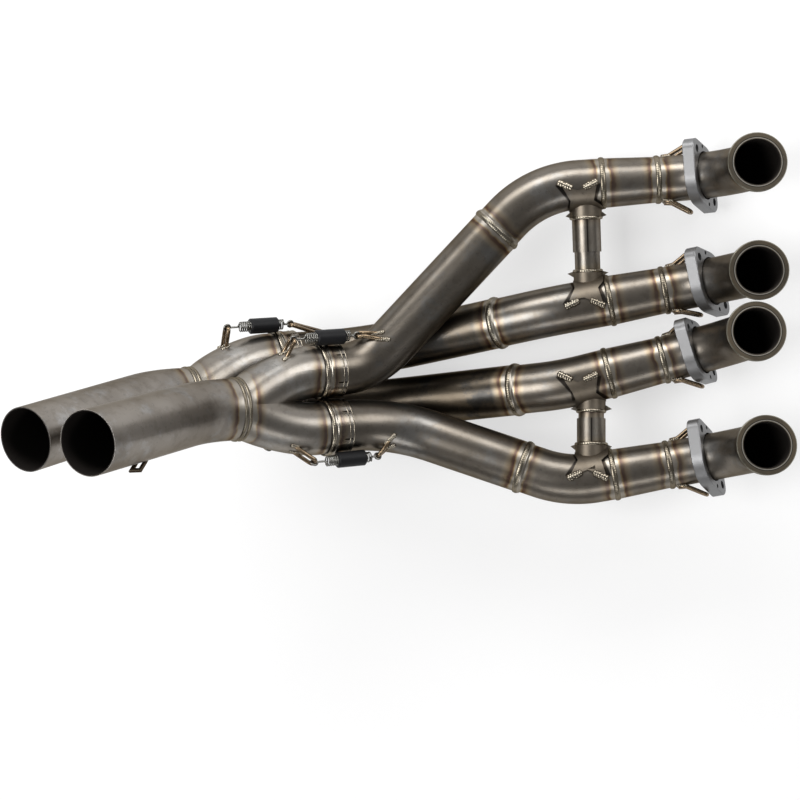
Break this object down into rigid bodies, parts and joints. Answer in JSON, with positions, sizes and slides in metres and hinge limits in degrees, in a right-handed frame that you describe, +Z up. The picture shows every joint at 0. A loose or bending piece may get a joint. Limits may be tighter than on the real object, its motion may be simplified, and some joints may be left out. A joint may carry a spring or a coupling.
{
  "type": "exhaust header",
  "caption": "Motorcycle exhaust header joining an inline engine's ports into two collectors, with loose port flanges, cross tubes and spring-held slip joints.",
  "frame": {"origin": "centre of the bounding box's bottom face, on the bench the header lies on", "axes": "+X from the outlets towards the port ends, along the header's length; +Y across the ports from pipe four to pipe one; +Z up from the bench, the way the port mouths and outlets rise as it lies on its back"},
  "size_m": [0.5912, 0.2977, 0.3214],
  "materials": {
    "tube_titanium": "brushed titanium, warm grey, heat tints at the welds",
    "ring_titanium": "turned titanium, darker olive grey",
    "flange_aluminium": "satin machined",
    "hook_rod": "heat-tinted rod",
    "spring_steel": "bright spring steel",
    "rubber": "matt black rubber tube"
  },
  "bodies": {
    "pipes": {"port_ring_1": "ring_titanium", "stub_bend_1": "tube_titanium", "upper_cone_1": "tube_titanium", "middle_bend_1": "tube_titanium", "lower_pipe_1": "tube_titanium", "port_hooks_1": "hook_rod", "gusset_1": "tube_titanium", "branch_1": "tube_titanium", "socket_1": "tube_titanium", "spring_1": "spring_steel", "spring_sleeve_1": "rubber", "spring_hooks_1": "hook_rod", "port_ring_2": "ring_titanium", "stub_bend_2": "tube_titanium", "upper_cone_2": "tube_titanium", "middle_bend_2": "tube_titanium", "lower_pipe_2": "tube_titanium", "port_hooks_2": "hook_rod", "gusset_2": "tube_titanium", "branch_2": "tube_titanium", "socket_2": "tube_titanium", "spring_2": "spring_steel", "spring_sleeve_2": "rubber", "spring_hooks_2": "hook_rod", "port_ring_3": "ring_titanium", "stub_bend_3": "tube_titanium", "upper_cone_3": "tube_titanium", "middle_bend_3": "tube_titanium", "lower_pipe_3": "tube_titanium", "port_hooks_3": "hook_rod", "gusset_3": "tube_titanium", "branch_3": "tube_titanium", "socket_3": "tube_titanium", "spring_3": "spring_steel", "spring_sleeve_3": "rubber", "spring_hooks_3": "hook_rod", "port_ring_4": "ring_titanium", "stub_bend_4": "tube_titanium", "upper_cone_4": "tube_titanium", "middle_bend_4": "tube_titanium", "lower_pipe_4": "tube_titanium", "port_hooks_4": "hook_rod", "gusset_4": "tube_titanium", "branch_4": "tube_titanium", "socket_4": "tube_titanium", "spring_4": "spring_steel", "spring_sleeve_4": "rubber", "spring_hooks_4": "hook_rod", "cross_sleeve_12": "tube_titanium", "cross_spigot_12": "tube_titanium", "cross_sleeve_34": "tube_titanium", "cross_spigot_34": "tube_titanium", "collar_front": "tube_titanium", "collar_rear": "tube_titanium", "outlet_front": "tube_titanium", "outlet_rear": "tube_titanium"},
    "flange_body_1": {"flange_1": "flange_aluminium"},
    "flange_body_2": {"flange_2": "flange_aluminium"},
    "flange_body_3": {"flange_3": "flange_aluminium"},
    "flange_body_4": {"flange_4": "flange_aluminium"}
  },
  "joints": [
    {"name": "flange_slide_1", "type": "hinge", "parent": "pipes", "child": "flange_body_1", "pos_m": [0.20339, 0.12258, 0.09463], "axis": [0.0452, -0.9923, 0.1152], "range_deg": [0, 57]},
    {"name": "flange_slide_2", "type": "hinge", "parent": "pipes", "child": "flange_body_2", "pos_m": [0.20323, 0.02993, 0.10348], "axis": [0.1624, -0.984, 0.0727], "range_deg": [0, 28]},
    {"name": "flange_slide_3", "type": "hinge", "parent": "pipes", "child": "flange_body_3", "pos_m": [0.2005, -0.02228, 0.11205], "axis": [0.2303, -0.9646, 0.1282], "range_deg": [0, 28]},
    {"name": "flange_slide_4", "type": "hinge", "parent": "pipes", "child": "flange_body_4", "pos_m": [0.2061, -0.10583, 0.12551], "axis": [0.1695, -0.973, 0.1568], "range_deg": [0, 57]}
  ]
}
